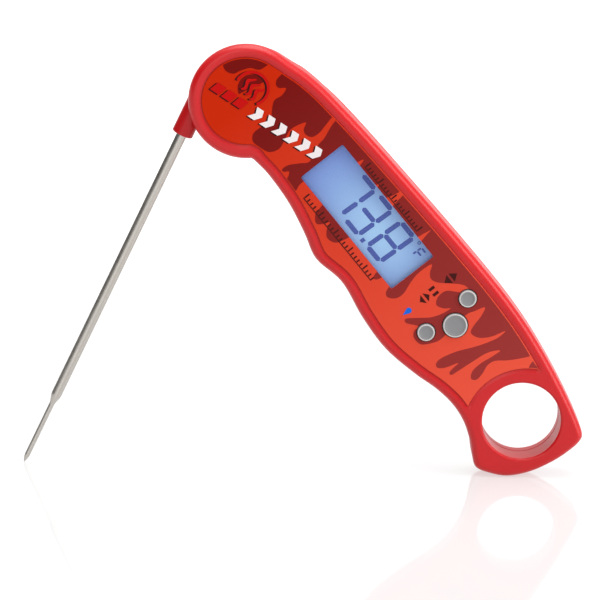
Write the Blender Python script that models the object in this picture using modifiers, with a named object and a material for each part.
"""Folding pocket meat thermometer, standing on its probe tip and the arc of its hanging ring.

Every piece is drawn flat in a drawing frame: x runs along the body from the probe's pivot to the
hanging ring, y runs across the body, and z comes out of the front face. An empty then stands the
drawing up, so that the world has +Z up and the front face looks along -Y. Units are metres.
"""

import math

import bmesh
import bpy
from mathutils import Matrix

MM = 0.001
NAME = "folding_meat_thermometer"

# ---------------------------------------------------------------- driving dimensions
BODY_TILT = math.radians(50.0)  # slope of the body below the horizontal
HEAD = (0.3 * MM, 0.56 * MM, 17.3 * MM)  # x, y and radius of the round head
REAR_HEAD = (0.0, 0.0, 15.3 * MM)  # the rear half's smaller cheek behind the hub
LABEL_HEAD = (-0.12 * MM, 0.75 * MM, 16.78 * MM)  # the circle that the label's round end is inset from
FRONT = 6.5 * MM  # height of the front face above the middle plane
BACK = -6.5 * MM  # the back face
PARTING = -2.4 * MM  # middle of the seam between the two case halves
GAP = 0.3 * MM  # clearance between neighbouring pieces
WELD = 0.01 * MM  # points nearer than this are one point
WALL = 1.5 * MM

EDGE_WIDTH = 2.1 * MM  # rounded front edge, seen from the front
EDGE_DEPTH = 2.9 * MM
BACK_EDGE_WIDTH = 1.8 * MM
BACK_EDGE_DEPTH = 1.8 * MM

RING_CENTRE = (129.6 * MM, 4.3 * MM)
RING_RADIUS = 12.0 * MM  # hanging hole

LABEL_INSET = 3.7 * MM  # rim between the outline and the label
LABEL_THICKNESS = 0.4 * MM
LABEL_ARC = (132.4 * MM, 3.8 * MM)  # centre of the arc that ends the label beside the hanging hole
LABEL_RING_RADIUS = 19.2 * MM
WINDOW_CENTRE = (50.1 * MM, 7.1 * MM)
WINDOW = (44.0 * MM, 16.1 * MM)  # visible part of the display

BUTTONS = {  # name: (x, y, radius of the cap)
    "left": (89.2 * MM, -1.1 * MM, 2.7 * MM),
    "centre": (93.0 * MM, 7.1 * MM, 3.75 * MM),
    "right": (88.8 * MM, 15.2 * MM, 2.7 * MM),
}
BUTTON_TOP = FRONT + 0.7 * MM

PROBE_OFFSET = 12.2 * MM  # from the pivot to the probe's centre line
PROBE_LENGTH = 131.4 * MM  # from the foot of that offset to the tip
SLEEVE_RADIUS = 3.25 * MM
SLEEVE_END = 17.7 * MM
TUBE_RADIUS = 1.6 * MM
NEEDLE_RADIUS = 0.8 * MM
HUB_RADIUS = 15.5 * MM
HUB_HALF = 3.3 * MM  # half the hub's thickness

BOARD_TOP = -0.1 * MM
BOARD_THICKNESS = 0.8 * MM
CELL_RADIUS = 10.0 * MM  # 2032 lithium coin cell
CELL_HEIGHT = 3.2 * MM
CELL_CENTRE = (88.0 * MM, 7.0 * MM)
COVER_RADIUS = 12.6 * MM
COVER_THICKNESS = 1.2 * MM
MAGNET_RADIUS = 4.0 * MM
MAGNET_THICKNESS = 1.8 * MM
MAGNETS = {"upper": (39.0 * MM, 7.0 * MM), "lower": (61.0 * MM, 7.0 * MM)}
SCREWS = [(20.8 * MM, -3.2 * MM), (20.6 * MM, 12.5 * MM), (111.0 * MM, -3.5 * MM), (110.5 * MM, 16.0 * MM)]

# ---------------------------------------------------------------- scene, materials, collections
for old in list(bpy.data.objects):
    bpy.data.objects.remove(old, do_unlink=True)
for old in list(bpy.data.collections):
    bpy.data.collections.remove(old)

parts = bpy.data.collections.new(NAME)
cutters = bpy.data.collections.new("cutters")
for collection in (parts, cutters):
    bpy.context.scene.collection.children.link(collection)
cutters.hide_render = True


def material(name, colour, roughness, metallic=0.0):
    made = bpy.data.materials.new(name)
    made.use_nodes = True
    shader = made.node_tree.nodes["Principled BSDF"]
    shader.inputs["Base Color"].default_value = (*colour, 1.0)
    shader.inputs["Roughness"].default_value = roughness
    shader.inputs["Metallic"].default_value = metallic
    made.diffuse_color = (*colour, 1.0)
    return made


RED_PLASTIC = material("red_plastic", (0.60, 0.02, 0.025), 0.35)
LABEL_PRINT = material("label_print", (0.55, 0.06, 0.02), 0.4)
CLEAR_PLASTIC = material("clear_plastic", (0.75, 0.82, 0.9), 0.1)
DISPLAY_BLUE = material("display_blue", (0.28, 0.42, 0.75), 0.25)
GREY_RUBBER = material("grey_rubber", (0.26, 0.26, 0.27), 0.6)
BLACK_RUBBER = material("black_rubber", (0.02, 0.02, 0.02), 0.8)
WHITE_PLASTIC = material("white_plastic", (0.8, 0.8, 0.78), 0.5)
BLACK_PLASTIC = material("black_plastic", (0.03, 0.03, 0.03), 0.5)
BOARD_GREEN = material("board_green", (0.02, 0.2, 0.08), 0.5)
STEEL = material("steel", (0.62, 0.60, 0.57), 0.25, 1.0)
BRASS = material("brass", (0.75, 0.55, 0.25), 0.3, 1.0)
WIRE_WHITE = material("wire_white", (0.85, 0.85, 0.82), 0.5)

# ---------------------------------------------------------------- outlines in the drawing frame
LOWER_SIDE = [(16.9, -8.6), (22.5, -8.2), (32.5, -8.9), (42.5, -11.0), (51.0, -13.2), (61.5, -11.6)]
LOWER_SIDE += [(74.0, -13.6), (86.0, -14.2), (97.5, -12.2), (105.5, -10.0), (112.5, -9.1), (119.0, -9.8)]
LOWER_SIDE += [(125.0, -12.0), (129.6, -14.6)]
BUTT = [(132.8, -15.8), (136.0, -14.4), (141.0, -10.2), (144.5, -3.6), (146.3, 4.0), (146.7, 10.0)]
BUTT += [(146.3, 14.0), (144.8, 16.2)]
UPPER_SIDE = [(139.5, 18.0), (130.0, 20.3), (118.0, 22.5), (106.0, 24.0), (92.0, 24.6)]
UPPER_SIDE += [(72.0, 24.3), (50.0, 23.5), (30.0, 22.6), (18.0, 21.7)]
SHOULDER = [(11.0, 21.0), (5.0, 19.9), (0.0, 18.4)]  # from the upper side to the front half's head
REAR_SHOULDER = [(11.0, 20.6), (5.0, 19.1), (0.0, 17.3)]
HEAD_ARC = (math.radians(108), math.radians(326))


def arc(centre, radius, start, end, count):
    """count + 1 points along a circle, from one angle to another."""
    angles = [start + (end - start) * i / count for i in range(count + 1)]
    return [(centre[0] + radius * math.cos(a), centre[1] + radius * math.sin(a)) for a in angles]


def curve_through(points, steps):
    """A Catmull-Rom curve through the points, between the second and the last but one."""
    return [
        tuple(
            q + 0.5 * t * (r - p + t * (2 * p - 5 * q + 4 * r - s + t * (3 * q - p - 3 * r + s)))
            for p, q, r, s in zip(*four)
        )
        for four in zip(points, points[1:], points[2:], points[3:])
        for t in (step / steps for step in range(steps))
    ]


def body_outline(x, y, radius, shoulder):
    """The case seen from the front, anticlockwise: both long sides, the butt, and a round head."""
    head = arc((x, y), radius, *HEAD_ARC, 34)
    sides = [(x * MM, y * MM) for x, y in LOWER_SIDE + BUTT + UPPER_SIDE + shoulder]
    return curve_through([head[-2], head[-1], *sides, head[0], head[1]], 3) + head[:-1]


def inset(outline, distance):
    """The outline moved inwards. Points that a tight corner would push too far stay at its middle."""
    count = len(outline)
    moved = []
    for i, (x, y) in enumerate(outline):
        before, after = outline[i - 1], outline[(i + 1) % count]
        dx, dy = after[0] - before[0], after[1] - before[1]
        length = math.hypot(dx, dy)
        moved.append((x - dy / length * distance, y + dx / length * distance))
    clear = [min(math.dist(p, q) for q in outline) > 0.93 * distance for p in moved]
    result = []
    for i in range(count):
        back, on = 0, 0
        while not clear[i - back]:
            back += 1
        while not clear[(i + on) % count]:
            on += 1
        result.append(moved[i - back] if back <= on else moved[(i + on) % count])
    return result


OUTLINE = body_outline(*HEAD, SHOULDER)
REAR_OUTLINE = body_outline(*REAR_HEAD, REAR_SHOULDER)

# ---------------------------------------------------------------- the standing frame and the probe's frame


def standing_matrix():
    """Stands the drawing up on its lowest point, with the whole object centred over the origin."""
    reach = math.hypot(PROBE_LENGTH, PROBE_OFFSET)
    cos, sin = math.cos(BODY_TILT), math.sin(BODY_TILT)
    height = max(x * sin - y * cos for x, y in OUTLINE)
    right = max(x * cos + y * sin for x, y in OUTLINE)
    direction = math.atan2(PROBE_OFFSET, PROBE_LENGTH) - math.pi + math.asin(height / reach)
    tip = PROBE_LENGTH * math.cos(direction) + PROBE_OFFSET * math.sin(direction)
    place = Matrix(((cos, sin, 0, -(right + tip) / 2), (0, 0, -1, 0), (-sin, cos, 0, height), (0, 0, 0, 1)))
    return place, direction + BODY_TILT


STANDING, PROBE_ANGLE = standing_matrix()

stand = bpy.data.objects.new("stand_frame", None)
stand.matrix_world = STANDING
parts.objects.link(stand)

probe_frame = bpy.data.objects.new("probe_frame", None)
probe_frame.parent = stand
probe_frame.rotation_euler = (0, 0, PROBE_ANGLE)
parts.objects.link(probe_frame)

# ---------------------------------------------------------------- modelling tools


def add(name, mesh, finish=None, parent=stand):
    """Puts a mesh in the scene: a part if it has a finish, otherwise a cutter."""
    thing = bpy.data.objects.new(name, mesh)
    thing.parent = parent
    if finish:
        mesh.materials.clear()
        mesh.materials.append(finish)
        mesh.shade_smooth()
        mesh.set_sharp_from_angle(angle=math.radians(35))
        parts.objects.link(thing)
    else:
        thing.display_type = "WIRE"
        thing.hide_render = True
        cutters.objects.link(thing)
    return thing


def to_mesh(name, shape):
    bmesh.ops.recalc_face_normals(shape, faces=shape.faces)
    mesh = bpy.data.meshes.new(name)
    shape.to_mesh(mesh)
    shape.free()
    return mesh


def loft(name, sections):
    """A closed mesh through loops of equal length, each given as (points, z)."""
    shape = bmesh.new()
    loops = [[shape.verts.new((x, y, z)) for x, y in points] for points, z in sections]
    for low, high in zip(loops, loops[1:]):
        for i in range(len(low)):
            shape.faces.new((low[i - 1], low[i], high[i], high[i - 1]))
    shape.faces.new(loops[0])
    shape.faces.new(loops[-1])
    bmesh.ops.remove_doubles(shape, verts=shape.verts, dist=0.02 * MM)
    return to_mesh(name, shape)


def evaluated_mesh(helper, place):
    """The mesh that a helper object comes to, welded and put in its place. The helper is removed."""
    cutters.objects.link(helper)
    bpy.context.view_layer.update()
    found = bpy.data.meshes.new_from_object(helper.evaluated_get(bpy.context.evaluated_depsgraph_get()))
    shape = bmesh.new()
    shape.from_mesh(found)
    bmesh.ops.remove_doubles(shape, verts=shape.verts, dist=WELD)
    bmesh.ops.transform(shape, matrix=place, verts=shape.verts)
    name = helper.name
    bpy.data.objects.remove(helper)
    bpy.data.meshes.remove(found)
    return to_mesh(name, shape)


def prism(name, outline, low, high, hole=None):
    """A flat outline, with a hole if one is given, filled and extruded from z = low to z = high."""
    curve = bpy.data.curves.new(name, "CURVE")
    curve.dimensions = "2D"
    curve.fill_mode = "BOTH"
    curve.extrude = (high - low) / 2
    for loop in (outline, hole):
        if loop is None:
            continue
        spline = curve.splines.new("POLY")
        spline.points.add(len(loop) - 1)
        spline.use_cyclic_u = True
        for point, (x, y) in zip(spline.points, loop):
            point.co = (x, y, 0.0, 1.0)
    return evaluated_mesh(bpy.data.objects.new(name, curve), Matrix.Translation((0, 0, (low + high) / 2)))


def disc(name, centre, radius, low, high, sides=32, top_radius=None):
    shape = bmesh.new()
    bmesh.ops.create_cone(
        shape, cap_ends=True, segments=sides, radius1=radius,
        radius2=radius if top_radius is None else top_radius, depth=high - low,
        matrix=Matrix.Translation((centre[0], centre[1], (low + high) / 2)),
    )
    return to_mesh(name, shape)


def block(name, centre, size, low, high):
    shape = bmesh.new()
    place = Matrix.Translation((centre[0], centre[1], (low + high) / 2))
    bmesh.ops.create_cube(shape, size=1.0, matrix=place @ Matrix.Diagonal((*size, high - low, 1.0)))
    return to_mesh(name, shape)


def turned(name, profile, along="z", centre=(0, 0, 0), sides=24, closed=False):
    """A turned mesh. The profile is (radius, distance along the axis), and a closed one makes a ring."""
    drawn = bpy.data.meshes.new(name)
    count = len(profile)
    edges = [(i, (i + 1) % count) for i in range(count if closed else count - 1)]
    drawn.from_pydata([(radius, 0.0, distance) for radius, distance in profile], edges, [])
    helper = bpy.data.objects.new(name, drawn)
    screw = helper.modifiers.new("turn", "SCREW")
    screw.steps = sides
    screw.render_steps = sides
    screw.use_merge_vertices = True
    screw.merge_threshold = WELD
    turn = Matrix.Rotation(math.pi / 2, 4, "Y") if along == "x" else Matrix.Identity(4)
    return evaluated_mesh(helper, Matrix.Translation(centre) @ turn)


def wire(name, points, radius, finish, parent=stand):
    """A round wire on a smooth curve through hand-placed points, as one closed mesh."""
    smooth = [*curve_through([points[0], *points, points[-1]], 3), points[-1]]
    curve = bpy.data.curves.new(name, "CURVE")
    curve.dimensions = "3D"
    curve.bevel_depth = radius
    curve.bevel_resolution = 2
    curve.use_fill_caps = True
    spline = curve.splines.new("POLY")
    spline.points.add(len(smooth) - 1)
    for point, place in zip(spline.points, smooth):
        point.co = (*place, 1.0)
    thing = bpy.data.objects.new(name, curve)
    thing.parent = parent
    curve.materials.append(finish)
    parts.objects.link(thing)
    return thing


def change(thing, cutter_mesh, operation="DIFFERENCE"):
    """Cuts a mesh out of a piece, or joins it on, with an exact Boolean."""
    cutter = add(cutter_mesh.name, cutter_mesh, parent=thing.parent)
    modifier = thing.modifiers.new(cutter_mesh.name, "BOOLEAN")
    modifier.operation = operation
    modifier.object = cutter
    modifier.solver = "EXACT"
    return cutter


def cut(thing, *meshes):
    for mesh in meshes:
        change(thing, mesh)

# ---------------------------------------------------------------- shapes that several pieces share


def edge_sections(outline, start, face, width, depth):
    """Rounded edge of the case: loops from the side wall at z = start to the flat face."""
    sign = 1 if face > start else -1
    sections = [(inset(outline, 0.3 * MM), start), (outline, start + sign * 0.3 * MM)]
    for step in range(5):
        turn = math.pi / 2 * step / 4
        move = width * (1 - math.cos(turn))
        loop = inset(outline, move) if move else outline
        sections.append((loop, face - sign * depth * (1 - math.sin(turn))))
    return sections


def label_outline():
    """The printed label: the outline moved in, cut off by an arc round the hanging ring."""
    inner = inset(body_outline(*LABEL_HEAD, SHOULDER), LABEL_INSET)
    reach = LABEL_RING_RADIUS
    outside = [math.dist(p, LABEL_ARC) > reach and p[0] < LABEL_ARC[0] for p in inner]
    first = next(i for i in range(len(inner)) if outside[i] and not outside[i - 1])
    kept = []
    for i in range(first, first + len(inner)):
        if not outside[i % len(inner)]:
            break
        kept.append(inner[i % len(inner)])
    low, high = on_arc(kept[-1], reach), on_arc(kept[0], reach)
    return kept + arc(LABEL_ARC, reach, low, high, 20)


def on_arc(point, radius):
    """Angle round the hanging ring at which the arc of this radius meets the label's side."""
    side = math.copysign(1, point[1] - LABEL_ARC[1])
    across = min(abs(point[1] - LABEL_ARC[1]) / radius, 0.97)
    return side * (math.pi - math.asin(across)) % (2 * math.pi)


BAY = [(27.5, -5.7), (101.0, -6.2), (105.0, -2.0), (107.0, 4.0), (106.0, 13.5), (101.0, 20.0)]
BAY += [(80.0, 20.8), (56.0, 20.4), (27.0, 19.6), (24.8, 17.0), (24.8, 0.0)]
BAY = [(x * MM, y * MM) for x, y in BAY]


def bay(name, low, high):
    """The electronics bay inside the case."""
    return prism(name, BAY, low, high)


def hub_space(name, low, high):
    """Room for the hub to turn: a round pocket, open to the sides that the sleeve sweeps."""
    wall = HUB_RADIUS + 0.4 * MM
    open_side = arc((0, 0), wall, math.radians(-33), math.radians(86), 20)
    corners = [(1, 30), (-30, 30), (-30, -30), (19.5, -30), (19.5, -8.5), (14.5, -8.5)]
    return prism(name, open_side + [(x * MM, y * MM) for x, y in corners], low, high)


def probe_slot(name, low, high):
    """The side slot that the folded probe lies in, open below and behind the front lip."""
    return block(name, (71.6 * MM, -20.15 * MM), (123.2 * MM, 20.0 * MM), low, high)


# ---------------------------------------------------------------- case
FRONT_SEAM = PARTING + GAP / 2
BACK_SEAM = PARTING - GAP / 2
RECESS = FRONT - LABEL_THICKNESS - GAP  # floor of the label's recess
FRONT_INSIDE = RECESS - WALL
BACK_INSIDE = BACK + WALL
HUB_ROOM = HUB_HALF + GAP
SLOT_TOP = TUBE_RADIUS + 0.5 * MM
SCREW_RADIUS = 1.0 * MM
PILOT_RADIUS = SCREW_RADIUS + GAP
SCREW_TOP = 2.5 * MM
HEAD_SEAT = -3.9 * MM  # floor of the screws' counterbores
BOSS_RADIUS = 2.8 * MM
PIVOT_SEAT = -4.8 * MM
MAGNET_FLOOR = BACK + MAGNET_THICKNESS + GAP
BATTERY_BORE = CELL_RADIUS + 1.0 * MM
BATTERY_WALL = COVER_RADIUS + 1.6 * MM
COVER_SEAT = BACK + COVER_THICKNESS + GAP
SEAL_GROOVE = (COVER_RADIUS - 1.3 * MM, COVER_RADIUS + 0.1 * MM)
GASKET_BAND = (0.9 * MM, 1.7 * MM)  # distance outside the bay
GASKET_DEPTH = 0.8 * MM
LENS_MARGIN = 0.9 * MM
LEAD_CHANNEL = 1.6 * MM
LEAD_Y = 2.0 * MM


def ring_hole(name, low, high):
    return disc(name, RING_CENTRE, RING_RADIUS, low, high, 48)


def band(name, outline, inner, outer, low, high):
    """An endless band between two distances outside an outline, lying flat."""
    return prism(name, inset(outline, -outer), low, high, hole=inset(outline, -inner))


def washer(name, centre, inner, outer, low, high, sides=32):
    return turned(name, [(inner, low), (outer, low), (outer, high), (inner, high)],
                  centre=(*centre, 0), sides=sides, closed=True)


def make_front_case():
    shell = loft("front_case", edge_sections(OUTLINE, FRONT_SEAM, FRONT, EDGE_WIDTH, EDGE_DEPTH))
    case = add("front_case", shell, RED_PLASTIC)
    cut(case, hub_space("front_hub_space", FRONT_SEAM - 1 * MM, HUB_ROOM))
    boss = disc("pivot_boss", (0, 0), BOSS_RADIUS, -3.0 * MM, HUB_ROOM + 0.5 * MM, 24)
    change(case, boss, "UNION")
    cut(
        case,
        prism("label_recess", inset(label_outline(), -1.4 * GAP), RECESS, FRONT + 1 * MM),
        bay("front_bay", FRONT_SEAM - 1 * MM, FRONT_INSIDE),
        probe_slot("front_slot", FRONT_SEAM - 1 * MM, SLOT_TOP),
        ring_hole("front_ring_hole", FRONT_SEAM - 1 * MM, FRONT + 1 * MM),
        block("lens_opening", WINDOW_CENTRE, [side + 2 * (LENS_MARGIN + GAP) for side in WINDOW],
              FRONT_INSIDE - 1 * MM, FRONT),
        block("lead_channel", (13.5 * MM, LEAD_Y), (25.6 * MM, LEAD_CHANNEL), RECESS - 1.3 * MM, FRONT),
        block("lead_exit", (25.7 * MM, LEAD_Y), (1.3 * MM, LEAD_CHANNEL), FRONT_INSIDE - 1 * MM, FRONT),
        disc("pivot_pilot", (0, 0), PILOT_RADIUS, -4.0 * MM, SCREW_TOP + 0.5 * MM, 16),
        band("front_gasket_groove", BAY, GASKET_BAND[0] - GAP, GASKET_BAND[1] + GAP,
             FRONT_SEAM - 1 * MM, FRONT_SEAM + GASKET_DEPTH),
    )
    for name, (x, y, radius) in BUTTONS.items():
        cut(case, disc(f"front_{name}_button_hole", (x, y), radius + GAP, FRONT_INSIDE - 1 * MM, FRONT, 32))
    for i, place in enumerate(SCREWS, 1):
        cut(case, disc(f"front_pilot_{i}", place, PILOT_RADIUS, FRONT_SEAM - 1 * MM,
                       SCREW_TOP + 0.5 * MM, 16))


def make_rear_case():
    sections = edge_sections(REAR_OUTLINE, BACK_SEAM, BACK, BACK_EDGE_WIDTH, BACK_EDGE_DEPTH)
    case = add("rear_case", loft("rear_case", sections), RED_PLASTIC)
    room = add("rear_bay", bay("rear_bay", BACK_INSIDE, BACK_SEAM + 1 * MM))
    cut(room, disc("battery_wall", CELL_CENTRE, BATTERY_WALL, BACK, 0.0, 48))
    for name, place in MAGNETS.items():
        cut(room, disc(f"magnet_wall_{name}", place, MAGNET_RADIUS + WALL, BACK, 0.0, 32))
    modifier = case.modifiers.new("rear_bay", "BOOLEAN")
    modifier.operation = "DIFFERENCE"
    modifier.object = room
    cut(
        case,
        hub_space("rear_hub_space", -HUB_ROOM, BACK_SEAM + 1 * MM),
        ring_hole("rear_ring_hole", BACK - 1 * MM, BACK_SEAM + 1 * MM),
        disc("battery_bore", CELL_CENTRE, BATTERY_BORE, BACK - 1 * MM, BACK_SEAM + 1 * MM, 48),
        disc("cover_seat", CELL_CENTRE, COVER_RADIUS + GAP, BACK - 1 * MM, COVER_SEAT, 48),
        washer("seal_groove", CELL_CENTRE, *SEAL_GROOVE, COVER_SEAT - 1 * MM, COVER_SEAT + 0.8 * MM, 48),
        band("rear_gasket_groove", BAY, GASKET_BAND[0] - GAP, GASKET_BAND[1] + GAP,
             BACK_SEAM - GASKET_DEPTH, BACK_SEAM + 1 * MM),
        disc("pivot_hole", (0, 0), PILOT_RADIUS, BACK, 0.0, 16),
        disc("pivot_counterbore", (0, 0), 3.0 * MM, BACK - 1 * MM, PIVOT_SEAT, 24),
    )
    for name, place in MAGNETS.items():
        pocket = disc(f"magnet_pocket_{name}", place, MAGNET_RADIUS + GAP, BACK - 1 * MM, MAGNET_FLOOR)
        cut(case, pocket)
    for i, place in enumerate(SCREWS, 1):
        cut(
            case,
            disc(f"rear_screw_hole_{i}", place, PILOT_RADIUS, BACK, 0.0, 16),
            disc(f"rear_counterbore_{i}", place, 2.4 * MM, BACK - 1 * MM, HEAD_SEAT, 24),
        )


def make_case_trim():
    add("case_gasket", band("case_gasket", BAY, *GASKET_BAND, BACK_SEAM - GASKET_DEPTH + GAP,
                            FRONT_SEAM + GASKET_DEPTH - GAP), BLACK_RUBBER)
    for i, place in enumerate(SCREWS, 1):
        screw(f"case_screw_{i}", place, 2.0 * MM, HEAD_SEAT - GAP, 1.1 * MM)
    screw("pivot_screw", (0, 0), 2.6 * MM, PIVOT_SEAT - GAP, 1.1 * MM)
    for name, place in MAGNETS.items():
        add(f"magnet_{name}", disc(f"magnet_{name}", place, MAGNET_RADIUS, BACK + 0.05 * MM,
                                   BACK + MAGNET_THICKNESS, 32), STEEL)


def screw(name, place, head_radius, seat, head_height):
    """A pan-head screw, driven from the back, with a cross recess left to the finish."""
    profile = [(0, SCREW_TOP), (SCREW_RADIUS * 0.6, SCREW_TOP), (SCREW_RADIUS, SCREW_TOP - 0.8 * MM)]
    profile += [(SCREW_RADIUS, seat), (head_radius, seat), (head_radius, seat - head_height * 0.6)]
    profile += [(head_radius * 0.8, seat - head_height), (0, seat - head_height)]
    add(name, turned(name, profile, centre=(*place, 0), sides=16), STEEL)


# ---------------------------------------------------------------- display, label and electronics
LENS_TOP = RECESS
LENS_THICKNESS = 0.7 * MM
GLASS_TOP = FRONT_INSIDE - GAP
GLASS_THICKNESS = 1.6 * MM
GLASS = (46.2 * MM, 20.4 * MM)
LIGHT = (43.0 * MM, 15.4 * MM)
STRIP = (42.0 * MM, 1.4 * MM)
STRIP_OFFSET = 8.9 * MM
BOARD_BOTTOM = BOARD_TOP - BOARD_THICKNESS
CHIP_CENTRE = (50.0 * MM, 7.0 * MM)
CHIP = 8.0 * MM
SENSOR_CENTRE = (28.3 * MM, 6.5 * MM)  # beside the hub, where the hub's magnet passes
SENSOR = (1.5 * MM, 3.0 * MM)


def make_label():
    sheet = prism("printed_label", label_outline(), FRONT - LABEL_THICKNESS, FRONT)
    label = add("printed_label", sheet, LABEL_PRINT)
    cut(label, block("label_window", WINDOW_CENTRE, WINDOW, FRONT - 1 * MM, FRONT + 1 * MM))
    for name, (x, y, radius) in BUTTONS.items():
        cut(label, disc(f"label_{name}_hole", (x, y), radius + GAP, FRONT - 1 * MM, FRONT + 1 * MM))


def make_display():
    size = [side + 2 * LENS_MARGIN for side in WINDOW]
    lens = block("display_lens", WINDOW_CENTRE, size, LENS_TOP - LENS_THICKNESS, LENS_TOP)
    add("display_lens", lens, CLEAR_PLASTIC)
    bottom = GLASS_TOP - GLASS_THICKNESS
    add("lcd_glass", block("lcd_glass", WINDOW_CENTRE, GLASS, bottom, GLASS_TOP), DISPLAY_BLUE)
    light_top = bottom - GAP
    guide = block("backlight_guide", WINDOW_CENTRE, LIGHT, light_top - 1 * MM, light_top)
    add("backlight_guide", guide, WHITE_PLASTIC)
    for name, side in (("upper", 1), ("lower", -1)):
        place = (WINDOW_CENTRE[0], WINDOW_CENTRE[1] + side * STRIP_OFFSET)
        strip = block(f"elastomer_strip_{name}", place, STRIP, BOARD_TOP + GAP, light_top)
        add(f"elastomer_strip_{name}", strip, BLACK_RUBBER)


def make_electronics():
    board = prism("circuit_board", inset(BAY, 0.8 * MM), BOARD_BOTTOM, BOARD_TOP)
    add("circuit_board", board, BOARD_GREEN)
    chip_top = BOARD_BOTTOM - GAP
    chip = block("controller_chip", CHIP_CENTRE, (CHIP, CHIP), chip_top - 1.2 * MM, chip_top)
    add("controller_chip", chip, BLACK_PLASTIC)
    sensor_low = BOARD_TOP + GAP
    sensor = block("fold_sensor", SENSOR_CENTRE, SENSOR, sensor_low, sensor_low + 0.7 * MM)
    add("fold_sensor", sensor, BLACK_PLASTIC)
    route = [(1.5, LEAD_Y / MM, 5.15), (8, 2.2, 5.15), (16, 1.8, 5.15), (23, 2.0, 5.1), (25.2, 2.0, 4.9)]
    route += [(25.75, 2.0, 4.1), (25.8, 2.0, 2.0), (25.9, 2.0, 0.5)]
    wire("board_lead", [tuple(value * MM for value in point) for point in route], 0.2 * MM, WIRE_WHITE)


def make_battery():
    cell_top = BOARD_BOTTOM - 0.9 * MM
    cell = [(0, cell_top - CELL_HEIGHT), (CELL_RADIUS - 0.4 * MM, cell_top - CELL_HEIGHT)]
    cell += [(CELL_RADIUS, cell_top - CELL_HEIGHT + 0.4 * MM), (CELL_RADIUS, cell_top - 0.6 * MM)]
    cell += [(CELL_RADIUS - 1.1 * MM, cell_top - 0.5 * MM), (CELL_RADIUS - 1.2 * MM, cell_top)]
    cell += [(0, cell_top)]
    add("coin_cell", turned("coin_cell", cell, centre=(*CELL_CENTRE, 0), sides=40), STEEL)
    plate_top = BOARD_BOTTOM - GAP
    plate = disc("contact_negative", CELL_CENTRE, 4.0 * MM, plate_top - 0.3 * MM, plate_top, 24)
    add("contact_negative", plate, STEEL)
    beside = (CELL_CENTRE[0] - CELL_RADIUS - 0.5 * MM, CELL_CENTRE[1])
    clip = block("contact_positive", beside, (0.3 * MM, 4.0 * MM), cell_top - 2.6 * MM, plate_top)
    add("contact_positive", clip, STEEL)


def make_battery_cover():
    """Coin-slot cover and its seal. Both have their origins on the cover's own axis."""
    for_cover = bpy.data.objects.new("cover_frame", None)
    for_cover.parent = stand
    for_cover.location = (*CELL_CENTRE, 0)
    parts.objects.link(for_cover)
    top = BACK + COVER_THICKNESS
    edge = [(0, BACK), (COVER_RADIUS - 0.3 * MM, BACK), (COVER_RADIUS, BACK + 0.3 * MM)]
    edge += [(COVER_RADIUS, top), (0, top)]
    cover = add("battery_cover", turned("battery_cover", edge, sides=48), RED_PLASTIC, for_cover)
    cut(cover, block("coin_slot", (0, 0), (15 * MM, 1.9 * MM), BACK - 1 * MM, BACK + 0.6 * MM))
    seal = [radius + move for radius, move in zip(SEAL_GROOVE, (0.3 * MM, -0.3 * MM))]
    ring = washer("battery_cover_seal", (0, 0), *seal, COVER_SEAT, COVER_SEAT + 0.5 * MM, 40)
    add("battery_cover_seal", ring, BLACK_RUBBER, for_cover)


def make_buttons():
    flange_top = FRONT_INSIDE - GAP
    flange_low = flange_top - 0.8 * MM
    plunger_top = flange_low - GAP
    switch_low = BOARD_TOP + GAP
    switch_top = switch_low + 1.7 * MM
    for name, (x, y, radius) in BUTTONS.items():
        profile = [(0, flange_low), (radius + 0.9 * MM, flange_low), (radius + 0.9 * MM, flange_top)]
        profile += [(radius, flange_top), (radius, BUTTON_TOP - 0.4 * MM), (radius - 0.4 * MM, BUTTON_TOP)]
        profile += [(radius - 0.8 * MM, BUTTON_TOP - 0.2 * MM), (0, BUTTON_TOP - 0.2 * MM)]
        cap = turned(f"button_{name}", profile, centre=(x, y, 0), sides=32)
        add(f"button_{name}", cap, GREY_RUBBER)
        plunger = disc(f"plunger_{name}", (x, y), 1.0 * MM, plunger_top - 2.0 * MM, plunger_top, 16)
        add(f"plunger_{name}", plunger, BLACK_PLASTIC)
        shell = block(f"switch_{name}", (x, y), (4.4 * MM, 4.4 * MM), switch_low, switch_top)
        switch = add(f"switch_{name}", shell, STEEL)
        cut(switch, disc(f"switch_{name}_hole", (x, y), 1.3 * MM, BOARD_TOP - 1 * MM,
                         switch_top + 1 * MM, 16))


# ---------------------------------------------------------------- probe, drawn folded and turned by its frame
BUSH = (BOSS_RADIUS + GAP, 3.8 * MM)
HUB_HOLE = BUSH[1] + GAP
CONE = (107.3 * MM, 111.3 * MM)  # where the tube narrows to the needle
WASHER = (4.6 * MM, 7.4 * MM)
FRONT_SEAL = (9.6 * MM, 10.4 * MM)
HUB_MAGNET = (11.5 * MM, 0.0)
SOCKET_DEPTH = 13.7 * MM  # how far the tube goes into the sleeve
CHANNEL_RADIUS = 0.9 * MM
BEAD_RADIUS = 0.26 * MM


def make_pivot():
    add("pivot_bush", washer("pivot_bush", (0, 0), *BUSH, -HUB_HALF, HUB_HALF), BRASS)
    friction = washer("friction_washer", (0, 0), *WASHER, -HUB_HALF, -HUB_HALF + 0.5 * MM)
    add("friction_washer", friction, STEEL)
    seal = washer("hub_seal", (0, 0), *FRONT_SEAL, HUB_HALF - 0.5 * MM, HUB_HALF)
    add("hub_seal", seal, BLACK_RUBBER)


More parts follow.
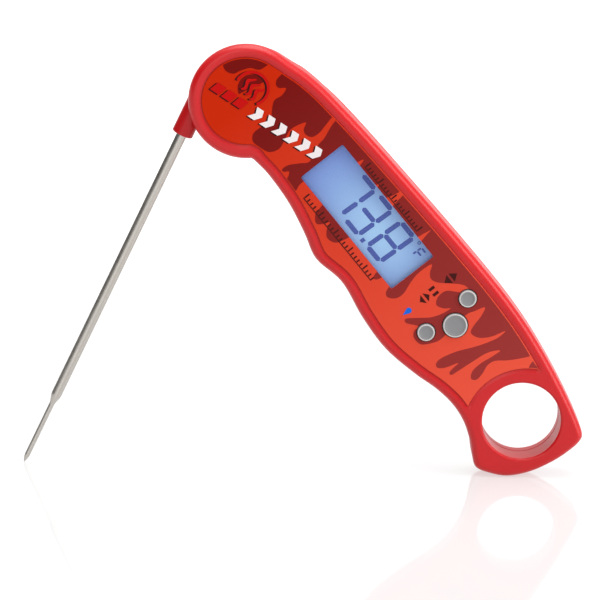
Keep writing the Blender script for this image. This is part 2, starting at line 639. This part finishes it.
def make_hub():
    edge = 0.5 * MM
    profile = [(0, -HUB_HALF), (HUB_RADIUS - edge, -HUB_HALF), (HUB_RADIUS, -HUB_HALF + edge)]
    profile += [(HUB_RADIUS, HUB_HALF - edge), (HUB_RADIUS - edge, HUB_HALF), (0, HUB_HALF)]
    hub = add("probe_hub", turned("probe_hub", profile, sides=48), RED_PLASTIC, probe_frame)
    sleeve = [(0, 0), (SLEEVE_RADIUS, 0), (SLEEVE_RADIUS, SLEEVE_END - 0.4 * MM)]
    sleeve += [(SLEEVE_RADIUS - 0.4 * MM, SLEEVE_END), (0, SLEEVE_END)]
    centre = (0, -PROBE_OFFSET, 0)
    change(hub, turned("sleeve", sleeve, along="x", centre=centre, sides=24), "UNION")
    tube_start = SLEEVE_END - SOCKET_DEPTH
    socket = TUBE_RADIUS + GAP
    bore_low, bore_high = tube_start - GAP, SLEEVE_END + 1 * MM
    bore = [(0, bore_low), (socket, bore_low), (socket, bore_high), (0, bore_high)]
    low, high = -1 * MM, tube_start + 1 * MM
    passage = [(0, low), (CHANNEL_RADIUS, low), (CHANNEL_RADIUS, high), (0, high)]
    cut(
        hub,
        turned("tube_socket", bore, along="x", centre=centre, sides=24),
        turned("lead_passage", passage, along="x", centre=centre, sides=12),
        block("lead_slot", (0, -PROBE_OFFSET / 2), (1.6 * MM, PROBE_OFFSET), -0.8 * MM, 0.8 * MM),
        disc("hub_hole", (0, 0), HUB_HOLE, -5 * MM, 5 * MM),
        washer("washer_recess", (0, 0), 3.0 * MM, WASHER[1] + GAP, -5 * MM, -HUB_HALF + 0.8 * MM),
        washer("seal_recess", (0, 0), FRONT_SEAL[0] - GAP, FRONT_SEAL[1] + GAP, HUB_HALF - 0.8 * MM, 5 * MM),
        disc("magnet_recess", HUB_MAGNET, 1.9 * MM, -5 * MM, -HUB_HALF + 2.3 * MM, 16),
    )
    magnet = disc("hub_magnet", HUB_MAGNET, 1.6 * MM, -HUB_HALF + 0.1 * MM, -HUB_HALF + 2.0 * MM, 16)
    add("hub_magnet", magnet, STEEL, probe_frame)


def make_probe():
    """The stainless tube with its thin pointed needle, hollow so that the sensor's lead runs inside."""
    start = SLEEVE_END - SOCKET_DEPTH
    wide, thin = 1.2 * MM, 0.5 * MM
    outside = [(TUBE_RADIUS, start), (TUBE_RADIUS, CONE[0]), (NEEDLE_RADIUS, CONE[1])]
    outside += [(NEEDLE_RADIUS, PROBE_LENGTH - 2.2 * MM), (0.12 * MM, PROBE_LENGTH - 0.05 * MM)]
    outside += [(0, PROBE_LENGTH)]
    inside = [(0, PROBE_LENGTH - 4 * MM), (thin, PROBE_LENGTH - 4.3 * MM), (thin, CONE[0] + 1 * MM)]
    inside += [(wide, CONE[0] - 2 * MM), (wide, start)]
    centre = (0, -PROBE_OFFSET, 0)
    tube = turned("probe_tube", outside + inside, along="x", centre=centre, sides=20, closed=True)
    add("probe_tube", tube, STEEL, probe_frame)
    bead_end = PROBE_LENGTH - 5.5 * MM
    bead = [(0, bead_end - 2.2 * MM), (BEAD_RADIUS, bead_end - 2.0 * MM)]
    bead += [(BEAD_RADIUS, bead_end - 0.2 * MM), (0, bead_end)]
    sensor = turned("thermistor_bead", bead, along="x", centre=centre, sides=10)
    add("thermistor_bead", sensor, BLACK_PLASTIC, probe_frame)
    offset = -PROBE_OFFSET / MM
    lead_end = (bead_end - 2.5 * MM) / MM
    route = [(0, -5.0, 0), (0, -8.5, 0), (0.25, offset + 1.2, 0), (1.2, offset + 0.15, 0), (3.5, offset, 0)]
    route += [(20, offset, 0), (lead_end, offset, 0)]
    points = [tuple(value * MM for value in point) for point in route]
    wire("sensor_lead", points, 0.15 * MM, WIRE_WHITE, probe_frame)


make_front_case()
make_rear_case()
make_case_trim()
make_label()
make_display()
make_electronics()
make_battery()
make_battery_cover()
make_buttons()
make_pivot()
make_hub()
make_probe()
